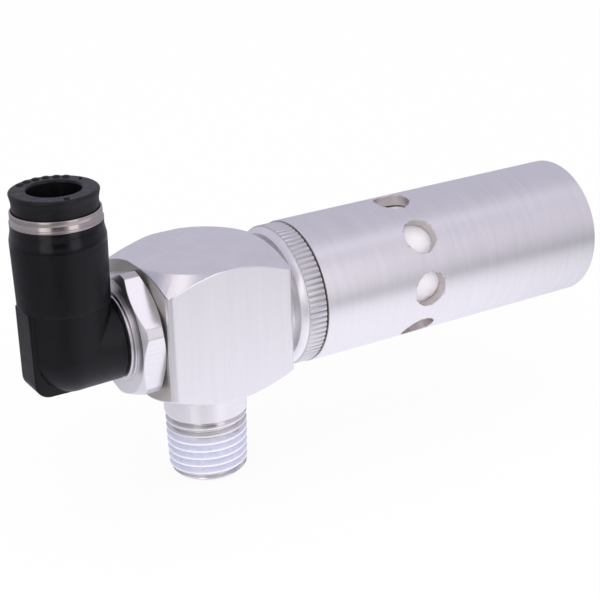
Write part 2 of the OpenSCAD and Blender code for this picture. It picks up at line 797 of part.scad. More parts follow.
ejector_body();
thread_sealant();
hex_plug();
plug_o_ring();
nozzle();
nozzle_o_ring();
swivel_stud();
stud_o_ring();
elbow_body();
tube_seal();
claw_guide();
lock_claw();
retaining_band();
release_ring();
silencer_base();
base_o_ring();
diffuser();
diffuser_o_ring();
silencer_cover();
silencer_element();
element_pad();
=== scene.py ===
# %% [markdown]
# # A vacuum ejector
# A vacuum ejector turns compressed air into suction. Air comes in through the
# black elbow, blows through a small jet inside the square block, drags air up
# through the threaded port below, and leaves by the silencer on the right.
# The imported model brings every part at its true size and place. This lesson
# keeps the parts whose shape is already right and softens their edges, builds
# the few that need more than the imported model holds, and gives each its finish.

# %% Load the parts
import math

import bmesh
import bpy
from mathutils import Matrix, Vector, noise


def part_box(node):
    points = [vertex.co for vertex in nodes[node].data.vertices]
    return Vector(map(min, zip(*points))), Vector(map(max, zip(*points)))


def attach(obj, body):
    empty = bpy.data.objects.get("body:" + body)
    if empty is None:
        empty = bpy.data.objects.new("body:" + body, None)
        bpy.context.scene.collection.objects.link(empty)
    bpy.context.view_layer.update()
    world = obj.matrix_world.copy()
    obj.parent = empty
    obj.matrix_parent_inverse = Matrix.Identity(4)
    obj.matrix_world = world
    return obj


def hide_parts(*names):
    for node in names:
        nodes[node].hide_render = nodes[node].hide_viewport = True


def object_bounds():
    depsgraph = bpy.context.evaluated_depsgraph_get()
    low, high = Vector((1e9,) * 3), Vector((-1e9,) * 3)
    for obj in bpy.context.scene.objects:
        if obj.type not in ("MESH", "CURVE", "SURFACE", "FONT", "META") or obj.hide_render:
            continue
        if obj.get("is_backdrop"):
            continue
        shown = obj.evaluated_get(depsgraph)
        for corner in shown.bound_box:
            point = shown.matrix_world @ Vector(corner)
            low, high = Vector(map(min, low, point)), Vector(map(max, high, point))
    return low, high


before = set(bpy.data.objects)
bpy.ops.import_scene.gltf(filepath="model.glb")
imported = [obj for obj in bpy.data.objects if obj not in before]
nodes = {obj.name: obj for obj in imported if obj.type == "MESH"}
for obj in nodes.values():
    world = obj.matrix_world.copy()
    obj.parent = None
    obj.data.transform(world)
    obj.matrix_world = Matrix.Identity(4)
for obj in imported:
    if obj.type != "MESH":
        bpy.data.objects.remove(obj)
cad_low, cad_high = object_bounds()
MM = 0.001
print("whole part", [round((b - a) / MM, 2) for a, b in zip(cad_low, cad_high)], "mm")

# %% [markdown]
# Everything is placed from the parts themselves: the block gives the tip of
# the thread, the silencer gives the height of the ejector axis, and the release
# ring gives the upright axis of the elbow. From here on, sizes are written in
# millimetres and turned into metres only where a point is made.

# %% Where the parts are


def box_of(name):
    """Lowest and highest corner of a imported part, in millimetres."""
    low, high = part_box(name)
    return low / MM, high / MM


block_low, block_high = box_of("ejector_body")
plug_low, plug_high = box_of("hex_plug")
cover_low, cover_high = box_of("silencer_cover")
ring_low, ring_high = box_of("release_ring")
sleeve_low, sleeve_high = box_of("silencer_element")
pad_low, pad_high = box_of("element_pad")
coat_low, coat_high = box_of("thread_sealant")
axis_z = (cover_low.z + cover_high.z) / 2
leg_x = (ring_low.x + ring_high.x) / 2
half = block_high.x
print("ejector axis at z", round(axis_z, 2), "mm, elbow leg at x", round(leg_x, 2), "mm")

# %% [markdown]
# ## The camera
# The camera stands a quarter of a metre away, a little above the part and to
# its left. A short lens close by would do too, but it narrows the silencer too
# fast, so a long lens is used from further off.

# %% Camera


def put(name, data):
    """Makes an object of its data and puts it in the scene."""
    obj = bpy.data.objects.new(name, data)
    bpy.context.scene.collection.objects.link(obj)
    return obj


camera_data = bpy.data.cameras.new("camera")
camera_data.sensor_width = 36
camera_data.lens = 90.12
camera_data.clip_start = 0.01
camera_data.clip_end = 20
camera = put("camera", camera_data)
bpy.context.scene.camera = camera
turn, lift, tilt = (math.radians(a) for a in (-31.362, 22.05, -1.606))
back = Vector((math.sin(turn) * math.cos(lift), -math.cos(turn) * math.cos(lift), math.sin(lift)))
level = Vector((math.cos(turn), math.sin(turn), 0))
upright = back.cross(level)
right = level * math.cos(tilt) + upright * math.sin(tilt)
above = upright * math.cos(tilt) - level * math.sin(tilt)
spot = Vector((-102.38, -198.78, 113.43)) * MM
camera.matrix_world = Matrix((
    (right.x, above.x, back.x, spot.x),
    (right.y, above.y, back.y, spot.y),
    (right.z, above.z, back.z, spot.z),
    (0, 0, 0, 1)))
print("camera", round(spot.length, 3), "m from the port")

# %% [markdown]
# ## Nodes
# A room and a finish are both drawn as nodes: small boxes that each do one
# sum, joined by links. They could be placed by hand in the node editor. Here
# a few helpers do it: each adds the nodes for one step and gives back the
# output that the next step needs.

# %% Add a node and fill its inputs


def feed(tree, socket, value):
    """Links an output to a socket, or sets the socket to a plain value."""
    if isinstance(value, bpy.types.NodeSocket):
        tree.links.new(value, socket)
    else:
        socket.default_value = value


def add_node(tree, kind, inputs=(), **options):
    """Adds a node, sets its options, then fills its inputs."""
    made = tree.nodes.new("ShaderNode" + kind)
    for option, value in options.items():
        setattr(made, option, value)
    for socket, value in dict(inputs).items():
        feed(tree, made.inputs[socket], value)
    return made


print("nodes come from", add_node.__name__)

# %% Stretch a field, mix two colours, run along a ramp


def between(tree, field, low, high, start=0.3, end=0.7, curve="LINEAR"):
    """Stretches a field so that start becomes low and end becomes high.

    Noise mostly lies between 0.3 and 0.7, so that is what it starts from.
    """
    inputs = {"Value": field, "From Min": start, "From Max": end, "To Min": low, "To Max": high}
    return add_node(tree, "MapRange", inputs, interpolation_type=curve).outputs[0]


def blend_colours(tree, factor, first, second, way="MIX"):
    """Mixes two colours, or two colour outputs, by a field."""
    first, second = ((*c, 1) if isinstance(c, tuple) else c for c in (first, second))
    inputs = {"Factor": factor, "A": first, "B": second}
    return add_node(tree, "Mix", inputs, data_type="RGBA", blend_type=way).outputs["Result"]


def ramp(tree, field, pairs, tint=(1, 1, 1)):
    """A colour ramp of (place, grey) stops, all in one tint."""
    made = add_node(tree, "ValToRGB", {0: field})
    elements = made.color_ramp.elements
    while len(elements) > 1:
        elements.remove(elements[-1])
    for i, (place, grey) in enumerate(pairs):
        stop = elements[0] if i == 0 else elements.new(place)
        stop.position = place
        stop.color = (*(grey * c for c in tint), 1)
    return made.outputs[0]


print("fields and colours come from", between.__name__, "and", blend_colours.__name__)

# %% [markdown]
# ## The room
# Satin metal shows whatever stands round it, so the room matters more than the
# lamps. It could be an image of a studio, but colour ramps from the floor to
# the ceiling are enough and stay easy to change: a dim, bluish wall behind the
# part, and a lighter one in front that dims towards the ceiling. A dark part
# in front stands for the camera, which keeps light out on its side.

# %% Room walls
world = bpy.data.worlds.new("room")
bpy.context.scene.world = world
world.use_nodes = True
world.cycles.sampling_method = "NONE"
room = world.node_tree
room.nodes.clear()
BACK_WALL = [(0.0, 0.6), (0.5, 0.50), (0.60, 0.55), (0.69, 0.57), (0.80, 0.56), (0.90, 0.54),
             (1.0, 0.56)]
FRONT_WALL = [(0.0, 0.6), (0.5, 0.50), (0.54, 0.66), (0.75, 0.70), (0.9, 0.68), (1.0, 0.60)]
way = add_node(room, "TexCoord").outputs["Generated"]
split = add_node(room, "SeparateXYZ", {0: way}).outputs
height = between(room, split["Z"], 0, 1, -1, 1)
back_wall = ramp(room, height, BACK_WALL, (1.0, 0.96, 1.15))
front_wall = ramp(room, height, FRONT_WALL, (1.0, 0.94, 1.09))
toward_back = between(room, split["Y"], 0, 1, -0.35, 0.35, "SMOOTHSTEP")
walls = blend_colours(room, toward_back, front_wall, back_wall)
print("room walls:", len(BACK_WALL), "stops behind,", len(FRONT_WALL), "in front")

# %% The dark part in front
DARK_WAY = Vector((-0.41, -0.90, 0.15)).normalized()
DARK_COLOUR = (0.10, 0.09, 0.09)
DARK_EDGES = [math.cos(math.radians(a)) for a in (30, 16)]
toward_dark = add_node(room, "VectorMath", {0: way, 1: DARK_WAY}, operation="DOT_PRODUCT")
dark = between(room, toward_dark.outputs["Value"], 0, 1, *DARK_EDGES, "SMOOTHSTEP")
room_light = blend_colours(room, dark, walls, DARK_COLOUR)
print("dark part is centred on", tuple(round(c, 2) for c in DARK_WAY))

# %% [markdown]
# The walls are for gloss only. Dull surfaces get one plain light of strength 1,
# at which a colour looks about as it is written, and the camera sees white.

# %% Plain light, and white behind the part
PLAIN_LIGHT = (1.0, 0.985, 1.03)
ray = add_node(room, "LightPath").outputs
light = blend_colours(room, ray["Is Glossy Ray"], PLAIN_LIGHT, room_light)
glow = add_node(room, "Background", {"Color": light}).outputs[0]
paper_white = add_node(room, "Background", {"Color": (1, 1, 1, 1)}).outputs[0]
pick = add_node(room, "MixShader", {0: ray["Is Camera Ray"], 1: glow, 2: paper_white})
add_node(room, "OutputWorld", {0: pick.outputs[0]})
print("plain light", PLAIN_LIGHT, "and white behind")

# %% [markdown]
# ## The lamps
# Four soft boxes add what the walls can't: one to the right makes the upper
# flat of the hexagon shine, one overhead lights the turned corner of the
# block, and two upright strips draw the streaks on everything that stands
# upright: the port's neck, the elbow and its metal band. Small lamps would
# leave hard points of light on satin metal, so all four have wide faces.

# %% Soft boxes


def soft_box(name, azimuth, elevation, distance, size, radiance, colour):
    """A soft box aimed at the part. Its power follows from how bright its face looks."""
    a, e = math.radians(azimuth), math.radians(elevation)
    out = Vector((math.sin(a) * math.cos(e), -math.cos(a) * math.cos(e), math.sin(e)))
    data = bpy.data.lights.new(name, "AREA")
    data.shape = "RECTANGLE"
    data.size, data.size_y = size
    data.energy = radiance * math.pi * size[0] * size[1]
    data.color = colour
    obj = put(name, data)
    obj.location = out * distance + Vector((0, 0, axis_z * MM))
    obj.rotation_mode = "QUATERNION"
    obj.rotation_quaternion = out.to_track_quat("Z", "Y")
    obj.visible_camera = False
    print(name, "gives", round(data.energy, 3), "W")


soft_box("flat_box", 53, 61, 0.5, (0.15, 0.15), 0.55, (1.0, 0.96, 1.0))
soft_box("corner_box", -166, 75, 0.5, (0.13, 0.13), 1.15, (1.0, 0.90, 0.86))
soft_box("strip_left", -56, 20, 0.16, (0.07, 0.15), 0.95, (1.0, 0.96, 0.95))
soft_box("strip_right", 10, 20, 0.16, (0.07, 0.15), 0.95, (1.0, 0.96, 0.95))

# %% [markdown]
# ## The paper floor
# The part stands on pale paper. What a glossy surface sees of the paper is
# given: bright close to the block, dim further away and a little brighter
# again far off, with a soft dark patch towards the camera. The camera itself
# sees almost plain white, and a small share of real shading keeps the shadow.

# %% Paper sheet
floor_z = block_low.z - 0.3
REACH = 3.0
floor_mesh = bpy.data.meshes.new("floor")
floor_corners = [(-REACH, -REACH), (REACH, -REACH), (REACH, REACH), (-REACH, REACH)]
floor_mesh.from_pydata([(x, y, floor_z * MM) for x, y in floor_corners], [], [(0, 1, 2, 3)])
floor = put("floor", floor_mesh)
floor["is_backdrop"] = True
paper = bpy.data.materials.new("pale_paper")
paper.use_nodes = True
paper.cycles.emission_sampling = "NONE"
sheet = paper.node_tree
sheet.nodes.clear()
floor_mesh.materials.append(paper)
print("paper at z", round(floor_z, 2), "mm")

# %% What gloss sees of the paper


def place_of(tree):
    """The point of the piece that is being shaded."""
    return add_node(tree, "TexCoord").outputs["Object"]


def distance_from(tree, x, y, across):
    """0 at a point on the paper, 1 at the given distance from it."""
    point = (x, y, floor_z * MM)
    far = add_node(tree, "VectorMath", {0: place_of(tree), 1: point}, operation="DISTANCE")
    return between(tree, far.outputs["Value"], 0, 1, 0, across)


PAPER_FALL = [(0, 1.02), (0.10, 0.97), (0.15, 0.84), (0.20, 0.71), (0.26, 0.55), (0.32, 0.42),
              (0.40, 0.34), (0.52, 0.36), (0.65, 0.46), (1.0, 0.60)]
PATCH_FALL = [(0, 0.15), (0.5, 0.2), (0.8, 0.75), (1, 1.0)]
# Painted reflection: the paper glows for glossy rays, brightest near the block, and the dark patch
# is a painted shadow of the camera.
brightness = ramp(sheet, distance_from(sheet, 0.030, -0.030, 0.4), PAPER_FALL, (1.0, 0.975, 1.08))
patch = ramp(sheet, distance_from(sheet, -0.070, -0.105, 0.060), PATCH_FALL)
seen = blend_colours(sheet, 1, brightness, patch, "MULTIPLY")
seen_in_gloss = add_node(sheet, "Emission", {"Color": seen}).outputs[0]
print("paper has", len(PAPER_FALL), "stops and a dark patch")

# %% What the camera sees of the paper
WHITE_SHARE = 0.90
shade = add_node(sheet, "BsdfDiffuse", {"Color": (0.93, 0.93, 0.95, 1)}).outputs[0]
white = add_node(sheet, "Emission").outputs[0]
path = add_node(sheet, "LightPath").outputs
share = add_node(sheet, "Math", {0: path["Is Camera Ray"], 1: WHITE_SHARE}, operation="MULTIPLY")
gloss = add_node(sheet, "MixShader", {0: path["Is Glossy Ray"], 1: shade, 2: seen_in_gloss})
mixed = add_node(sheet, "MixShader", {0: share.outputs[0], 1: gloss.outputs[0], 2: white})
add_node(sheet, "OutputMaterial", {0: mixed.outputs[0]})
print("the camera sees", WHITE_SHARE, "white and the rest real shading")

# %% [markdown]
# ## Finishes
# Every finish starts from the same three questions: what colour is it, how
# rough is it, and which way does its grain run? A drawn bar has its lines
# along its length, a turned face has them round its axis. The grain is a noise
# that is squeezed in one direction, and it moves the colour, the roughness and
# a shallow bump together, as one tool mark does on the real part.

# %% A finish with grain
GRAIN_DETAIL = 4


def new_finish(name, metal, specular=0.5):
    """An empty finish: its material, its node tree, and its shader."""
    mat = bpy.data.materials.new(name)
    mat.use_nodes = True
    shader = mat.node_tree.nodes["Principled BSDF"]
    shader.inputs["Metallic"].default_value = metal
    shader.inputs["IOR"].default_value = 1.5
    shader.inputs["Specular IOR Level"].default_value = specular
    return mat, mat.node_tree, shader


def grain(tree, squeeze):
    """Noise over the part, squeezed: a large number packs it tightly in that direction."""
    squeezed = add_node(tree, "Mapping", {"Vector": place_of(tree), "Scale": squeeze}).outputs[0]
    inputs = {"Vector": squeezed, "Scale": 1.0, "Detail": GRAIN_DETAIL, "Roughness": 0.65}
    return add_node(tree, "TexNoise", inputs).outputs["Fac"]


print("each grain adds", GRAIN_DETAIL, "finer layers of noise")

# %% Colour, roughness and bump together
MARK_DEPTH = 0.01


def scaled(colour, k):
    """A colour made lighter or darker, kept below white."""
    return tuple(min(1.0, c * k) for c in colour)


def press(tree, shader, field, strength):
    """Turns a field into shallow tool marks."""
    inputs = {"Strength": strength, "Distance": MARK_DEPTH * MM, "Height": field}
    feed(tree, shader.inputs["Normal"], add_node(tree, "Bump", inputs).outputs[0])


def lay_grain(tree, shader, field, colour, rough, uneven, dent=0.0):
    """Lets one field move the colour, the roughness and a bump. The colour may be made already."""
    if isinstance(colour, tuple):
        pair = scaled(colour, 1 - uneven), scaled(colour, 1 + uneven)
        colour = blend_colours(tree, between(tree, field, 0, 1), *pair)
    feed(tree, shader.inputs["Base Color"], colour)
    roughness = between(tree, field, rough * (1 - 2 * uneven), rough * (1 + 2 * uneven))
    feed(tree, shader.inputs["Roughness"], roughness)
    if dent:
        press(tree, shader, field, dent)


def comb(tree, shader, axis, amount):
    """Tool marks round an axis: they smear reflections across the marks."""
    shader.inputs["Anisotropic"].default_value = amount
    shader.inputs["Anisotropic Rotation"].default_value = 0.25
    around_axis = add_node(tree, "Tangent", direction_type="RADIAL", axis=axis)
    feed(tree, shader.inputs["Tangent"], around_axis.outputs[0])


def metal_finish(name, colour, rough, squeeze,
                 uneven=0.04, dent=0.25, turned_about=None, combed=0.7):
    """A metal with grain, drawn or turned."""
    mat, tree, shader = new_finish(name, 1)
    lay_grain(tree, shader, grain(tree, squeeze), colour, rough, uneven, dent)
    if turned_about:
        comb(tree, shader, turned_about, combed)
    return mat


print("tool marks are up to", MARK_DEPTH, "mm deep")

# %% [markdown]
# The aluminium parts are anodised clear: nearly neutral, satin, and only a
# little rough. The block is drawn bar on its four walls, turned on its neck
# and its corners, and faced on top, with the same grain all ways. The flats
# of the hexagon are drawn and shine more, and its ends are turned. So are the
# lands where its corners were taken off, which carry painted shade: a darker
# copy of the same aluminium.

# %% Aluminium
CLEAR = (0.87, 0.868, 0.872)
FINE, COARSE = 1600, 70
ALONG_X, ALONG_Z = (COARSE, FINE, FINE), (FINE, FINE, COARSE)
ROUND_X, ROUND_Z = (FINE, COARSE, COARSE), (COARSE, COARSE, FINE)
drawn_wall = metal_finish("drawn_wall", CLEAR, 0.42, ALONG_Z, uneven=0.02, dent=0.15)
turned_chamfer = metal_finish("turned_chamfer", CLEAR, 0.30, ROUND_Z, turned_about="Z")
turned_neck = metal_finish("turned_neck", (0.89, 0.885, 0.89), 0.30, ROUND_Z, uneven=0.03,
                           turned_about="Z", combed=0.85)
faced_top = metal_finish("faced_top", CLEAR, 0.42, (300, 300, 300), uneven=0.03)
hex_flat = metal_finish("hexagon_flat", CLEAR, 0.24, ALONG_X)
# Painted shade: the lands are a darker copy of the same aluminium.
hex_land_painted_shade = metal_finish("hexagon_land", scaled(CLEAR, 0.78), 0.36, ROUND_X,
                        turned_about="X", combed=0.5)
hex_turned = metal_finish("hexagon_turned", CLEAR, 0.34, ROUND_X, turned_about="X", combed=0.5)
print("grain packs", COARSE, "marks to the metre along the lines and", FINE, "across them")

# %% [markdown]
# The silencer is the same aluminium. Its collar carries painted shade and a
# painted highlight: the grooves between its cut ridges and the narrow gap
# beside the block are painted darker, and the smooth cone between them is
# painted lighter. The side of the block that the plug lies against is painted
# darker too, most of all beside the plug, as painted shade. The walls of the
# cover's holes are darker and a shade warmer than its outside. Grooves and
# walls lie nearer the axis, so the distance from the axis tells them apart.
# Painting the faces one by one would do as well, but this also works on a part
# whose mesh isn't touched.

# %% Where a point lies


def radius_about(tree, centre, across):
    """Distance of a point from an axis, in millimetres. Across is 1 in the two ways that count."""
    inputs = {0: place_of(tree), 1: centre}
    from_axis = add_node(tree, "VectorMath", inputs, operation="SUBTRACT").outputs[0]
    inputs = {0: from_axis, 1: tuple(c / MM for c in across)}
    flat = add_node(tree, "VectorMath", inputs, operation="MULTIPLY").outputs[0]
    return add_node(tree, "VectorMath", {0: flat}, operation="LENGTH").outputs["Value"]


def radius_about_x(tree):
    """Distance of a point from the ejector axis, in millimetres."""
    return radius_about(tree, (0, 0, axis_z * MM), (0, 1, 1))


def height_along(tree, axis):
    """One coordinate of a point, in millimetres."""
    parts = add_node(tree, "SeparateXYZ", {0: place_of(tree)}).outputs
    return add_node(tree, "Math", {0: parts[axis], 1: MM}, operation="DIVIDE").outputs[0]


print("the ejector axis lies", round(axis_z, 2), "mm above the port's gauge plane")

# %% Collar with cut ridges, painted shade and a painted highlight
GROOVE = cover_high.y - 0.22
COLLAR_FROM = half + 2.25
collar_metal, tree, shader = new_finish("silencer_collar_painted_light", 1)
lines = grain(tree, ROUND_X)
# Painted shade: the grooves between the cut ridges are painted darker than the ridges, and the
# ridges a little darker than the block.
groove_shade_mask = between(tree, radius_about_x(tree), 0, 1, GROOVE - 0.25, GROOVE + 0.08)
skin = blend_colours(tree, between(tree, lines, 0, 1), scaled(CLEAR, 0.83), scaled(CLEAR, 0.89))
ridges_with_painted_shade = blend_colours(tree, groove_shade_mask, scaled(CLEAR, 0.70), skin)
# Painted shadow and highlight: the narrow gap beside the block is painted dark, and the smooth cone
# past it is painted lighter than the block.
gap_shade_to_cone_light = between(tree, height_along(tree, "X"), 0, 1, half + 0.2, half + 0.5)
on_collar = between(tree, height_along(tree, "X"), 0, 1, COLLAR_FROM - 0.05, COLLAR_FROM + 0.3)
painted_gap_and_cone = blend_colours(tree, gap_shade_to_cone_light, scaled(CLEAR, 0.60), scaled(CLEAR, 1.10))
collar_painted_light_and_shade = blend_colours(tree, on_collar, painted_gap_and_cone, ridges_with_painted_shade)
feed(tree, shader.inputs["Base Color"], collar_painted_light_and_shade)
feed(tree, shader.inputs["Roughness"], between(tree, lines, 0.36, 0.42))
comb(tree, shader, "X", 0.4)
print("collar starts at x", round(COLLAR_FROM, 2), "mm")

# %% Painted shade on the side of the block under the plug
FULL_SHADE_TO, SHADE_GONE_FROM = 11.0, 14.5
milled_side_painted_shade, tree, shader = new_finish("milled_side_painted_shade", 1)
unshaded = between(tree, radius_about_x(tree), 0, 1, FULL_SHADE_TO, SHADE_GONE_FROM)
# Painted shade: the side is painted darker and warmer close to the plug, standing in for the shade
# and dark reflection between plug and block.
painted_plug_shade = blend_colours(tree, unshaded, (0.46, 0.44, 0.405), (0.80, 0.79, 0.78))
feed(tree, shader.inputs["Base Color"], painted_plug_shade)
across_lines = grain(tree, (COARSE, FINE, COARSE))
feed(tree, shader.inputs["Roughness"], between(tree, across_lines, 0.36, 0.42))
print("milled side is clean from", SHADE_GONE_FROM, "mm outwards")

# %% Cover with darker hole walls
BORED_FROM, OUTSIDE_FROM = 0.16, 0.10
cover_metal, tree, shader = new_finish("silencer_cover_metal", 1)
lines = grain(tree, (1200, 90, 90))
round_wall = between(tree, radius_about_x(tree), 0, 1,
                     cover_high.y - BORED_FROM, cover_high.y - OUTSIDE_FROM)
end_face = between(tree, height_along(tree, "X"), 0, 1,
                   cover_high.x - BORED_FROM, cover_high.x - OUTSIDE_FROM)
outside = add_node(tree, "Math", {0: round_wall, 1: end_face}, operation="MAXIMUM").outputs[0]
skin = blend_colours(tree, between(tree, lines, 0, 1), scaled(CLEAR, 0.965), scaled(CLEAR, 1.03))
cover_colour = blend_colours(tree, outside, (0.66, 0.62, 0.60), skin)
feed(tree, shader.inputs["Base Color"], cover_colour)
feed(tree, shader.inputs["Roughness"], between(tree, lines, 0.34, 0.44))
press(tree, shader, lines, 0.3)
comb(tree, shader, "X", 0.6)
print("hole walls start", round(cover_high.y - OUTSIDE_FROM, 2), "mm from the axis")

# %% [markdown]
# The swivel stud is nickel-plated brass and the band is plated steel, which is
# darker and glossier. Inside are a brass jet, a brass diffuser and the spring
# steel claw, which only show in a cut model. The same function makes them all,
# with other colours and grain.

# %% Plated and inner metals
nickel = metal_finish("nickel_plate", (0.80, 0.78, 0.79), 0.36, ROUND_X,
                      turned_about="X", combed=0.5)
band_nickel = metal_finish("band_nickel", (0.47, 0.43, 0.41), 0.24, ROUND_Z, uneven=0.08,
                           turned_about="Z", combed=0.8)
claw_steel = metal_finish("claw_steel", (0.55, 0.55, 0.56), 0.30, (900, 900, 900))
jet_brass = metal_finish("jet_brass", (0.72, 0.55, 0.27), 0.25, ROUND_X, turned_about="X")
print("plated and inner metals:", nickel.name, band_nickel.name, claw_steel.name, jet_brass.name)

# %% [markdown]
# The elbow is moulded in black plastic. Moulded plastic isn't flat black: the
# mould's texture gives it a fine, soft grain, and where the mould was polished
# it shines. On this elbow the neck and the ring below it are polished and the
# rest is satin, so the height decides the roughness.

# %% Black elbow
GLOSS_FOOT = 38.8
elbow_black, tree, shader = new_finish("elbow_black", 0, specular=0.27)
specks = grain(tree, (900, 900, 900))
dark_tint, light_tint = (0.0012, 0.0015, 0.0027), (0.0020, 0.0024, 0.0042)
tint = blend_colours(tree, between(tree, specks, 0, 1), dark_tint, light_tint)
feed(tree, shader.inputs["Base Color"], tint)
polished = between(tree, height_along(tree, "Z"), 0, 1, GLOSS_FOOT - 0.1, GLOSS_FOOT + 0.1)
satin_rough = between(tree, specks, 0.36, 0.46)
gloss_rough = between(tree, specks, 0.17, 0.21)
roughness = add_node(tree, "Mix", {"Factor": polished, "A": satin_rough, "B": gloss_rough})
feed(tree, shader.inputs["Roughness"], roughness.outputs["Result"])
press(tree, shader, specks, 0.25)
print("polished above z", GLOSS_FOOT, "mm")

# %% [markdown]
# The release ring is a black plastic like the elbow's, satin all over. The
# guide and the seals are inside. All of them have the fine grain of a mould.

# %% Other plastics and rubber


def moulded(name, colour, rough, specular=0.4):
    """Black or grey plastic with the fine grain of its mould."""
    mat, tree, shader = new_finish(name, 0, specular=specular)
    lay_grain(tree, shader, grain(tree, (900, 900, 900)), colour, rough, 0.12, 0.4)
    return mat


release_black = moulded("release_black", (0.0032, 0.0036, 0.0052), 0.40, 0.33)
guide_plastic = moulded("guide_plastic", (0.02, 0.02, 0.022), 0.45)
seal_rubber = moulded("seal_rubber", (0.015, 0.015, 0.016), 0.60, 0.3)
print("moulded:", release_black.name, guide_plastic.name, seal_rubber.name)

# %% [markdown]
# The port's thread is coated with a white sealant, and behind the holes sits a
# sleeve of white porous plastic. Both are dull, so their colour does the work.
# The coat is painted white along the crests of the thread, a painted highlight,
# and a darker, bluish grey in its grooves, a painted shade. The thread's
# diameter grows by 1 in 16, so its crests lie on a cone, and the distance from
# that cone says how deep in a groove a point lies. Bare thread beside the coat
# is painted lighter on its crests and darker away from them, as painted
# highlight and shade.

# %% How far above the thread's crests
GAUGE = 6.5785
TAPER = 1 / 32


def above_crest(tree):
    """Distance of a point from the cone of the thread's crests, in millimetres."""
    radius = radius_about(tree, (0, 0, 0), (1, 1, 0))
    inputs = {0: height_along(tree, "Z"), 1: TAPER, 2: GAUGE}
    cone = add_node(tree, "Math", inputs, operation="MULTIPLY_ADD").outputs[0]
    return add_node(tree, "Math", {0: radius, 1: cone}, operation="SUBTRACT").outputs[0]


print("crests at the gauge plane lie", GAUGE, "mm from the axis")

# %% Coat, bare thread and porous plastic
coat_white, tree, shader = new_finish("thread_coat", 0)
blotches = grain(tree, (1100, 1100, 1100))
# Painted highlight and shade: the coat is painted near-white on the thread's crests and grey in its
# grooves.
crest = between(tree, above_crest(tree), 0, 1, -0.05, 0.06)
thick = blend_colours(tree, between(tree, blotches, 0, 1), (0.60, 0.62, 0.74), (0.72, 0.73, 0.84))
coated = blend_colours(tree, crest, thick, (0.94, 0.94, 1.0))
lay_grain(tree, shader, blotches, coated, 0.48, 0.10, 1.0)

cut_thread, tree, shader = new_finish("cut_thread", 1)
lines = grain(tree, (200, 200, 1800))
# Painted highlight and shade: bare thread is painted lighter on its crests and darker away from
# them.
crest = between(tree, above_crest(tree), 0, 1, -0.09, -0.03)
painted_root_shade = blend_colours(tree, between(tree, lines, 0, 1), (0.66, 0.645, 0.64), (0.82, 0.805, 0.80))
bare = blend_colours(tree, crest, painted_root_shade, (0.93, 0.925, 0.93))
lay_grain(tree, shader, lines, bare, 0.22, 0.08, 0.3)
comb(tree, shader, "Z", 0.5)

porous_white, tree, shader = new_finish("porous_white", 0, specular=0.2)
beads = grain(tree, (2500, 2500, 2500))
lay_grain(tree, shader, beads, (0.965, 0.945, 0.965), 0.85, 0.03, 1.0)
print("dull whites:", coat_white.name, porous_white.name)

# %% [markdown]
# A finish shows once it is in a part's material slot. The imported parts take
# theirs here, the hidden ones too.

# %% Hand out the finishes
finishes = {
    "ejector_body": drawn_wall, "thread_sealant": coat_white, "hex_plug": hex_flat,
    "swivel_stud": nickel, "elbow_body": elbow_black, "claw_guide": guide_plastic,
    "lock_claw": claw_steel, "retaining_band": band_nickel, "release_ring": release_black,
    "silencer_base": collar_metal, "silencer_cover": cover_metal, "nozzle": jet_brass,
    "diffuser": jet_brass, "silencer_element": porous_white, "element_pad": porous_white}
for name in nodes:
    if name.endswith("o_ring") or name == "tube_seal":
        finishes[name] = seal_rubber
for name, mat in finishes.items():
    mesh = nodes[name].data
    mesh.materials.clear()
    mesh.materials.append(mat)
print(len(finishes), "parts have a finish,", len(nodes) - len(finishes), "have none")

# %% [markdown]
# ## Softer edges
# No real edge is perfectly sharp: a tumbled or moulded edge has a small
# rounding that catches the light as a fine line. Modelling each rounding in
# the source would be slow, so three modifiers do it here. One joins the
# doubled points, one rounds every edge sharper than a limit, and one evens the
# shading so that large faces stay flat.

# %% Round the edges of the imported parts
JOIN_WITHIN = 0.002
EDGE_ANGLE = 32


def round_edges(part, width, limit):
    """Rounds every edge sharper than a limit in degrees."""
    rounding = part.modifiers.new("rounded_edges", "BEVEL")
    rounding.width = width * MM
    rounding.segments = 2
    rounding.limit_method = "ANGLE"
    rounding.angle_limit = math.radians(limit)
    rounding.use_clamp_overlap = False
    return rounding


def even_shading(part):
    """Lets large faces set the shading, so that they look flat beside a rounding."""
    even = part.modifiers.new("even_shading", "WEIGHTED_NORMAL")
    even.weight = 60
    return even


def soften(name, width):
    """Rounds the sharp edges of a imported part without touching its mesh."""
    join = nodes[name].modifiers.new("join_points", "WELD")
    join.merge_threshold = JOIN_WITHIN * MM
    round_edges(nodes[name], width, EDGE_ANGLE)
    even_shading(nodes[name])


EDGE_WIDTHS = {"elbow_body": 0.18, "release_ring": 0.14, "retaining_band": 0.05,
               "swivel_stud": 0.08, "silencer_base": 0.06}
for name, width in EDGE_WIDTHS.items():
    soften(name, width)
print("softened", ", ".join(EDGE_WIDTHS))

# %% [markdown]
# ## Swept pieces
# The block, the hexagon plug, the coat and the porous sleeve are all made the
# same way: an outline is drawn for each direction round an axis, and the
# outlines are joined into a skin. A turned part has the same outline all
# round. A square or hexagonal bar has one that reaches further at its corners.

# %% Points round an axis


def about_z(r, t, angle):
    """A point at a distance from the port's axis, at height t."""
    return (r * math.cos(angle) * MM, r * math.sin(angle) * MM, t * MM)


def about_x(r, t, angle):
    """A point at a distance from the ejector axis, at place t along it."""
    return (t * MM, r * math.cos(angle) * MM, (axis_z + r * math.sin(angle)) * MM)


def even_turn(count):
    """Equal steps of one full turn."""
    return [2 * math.pi * k / count for k in range(count)]


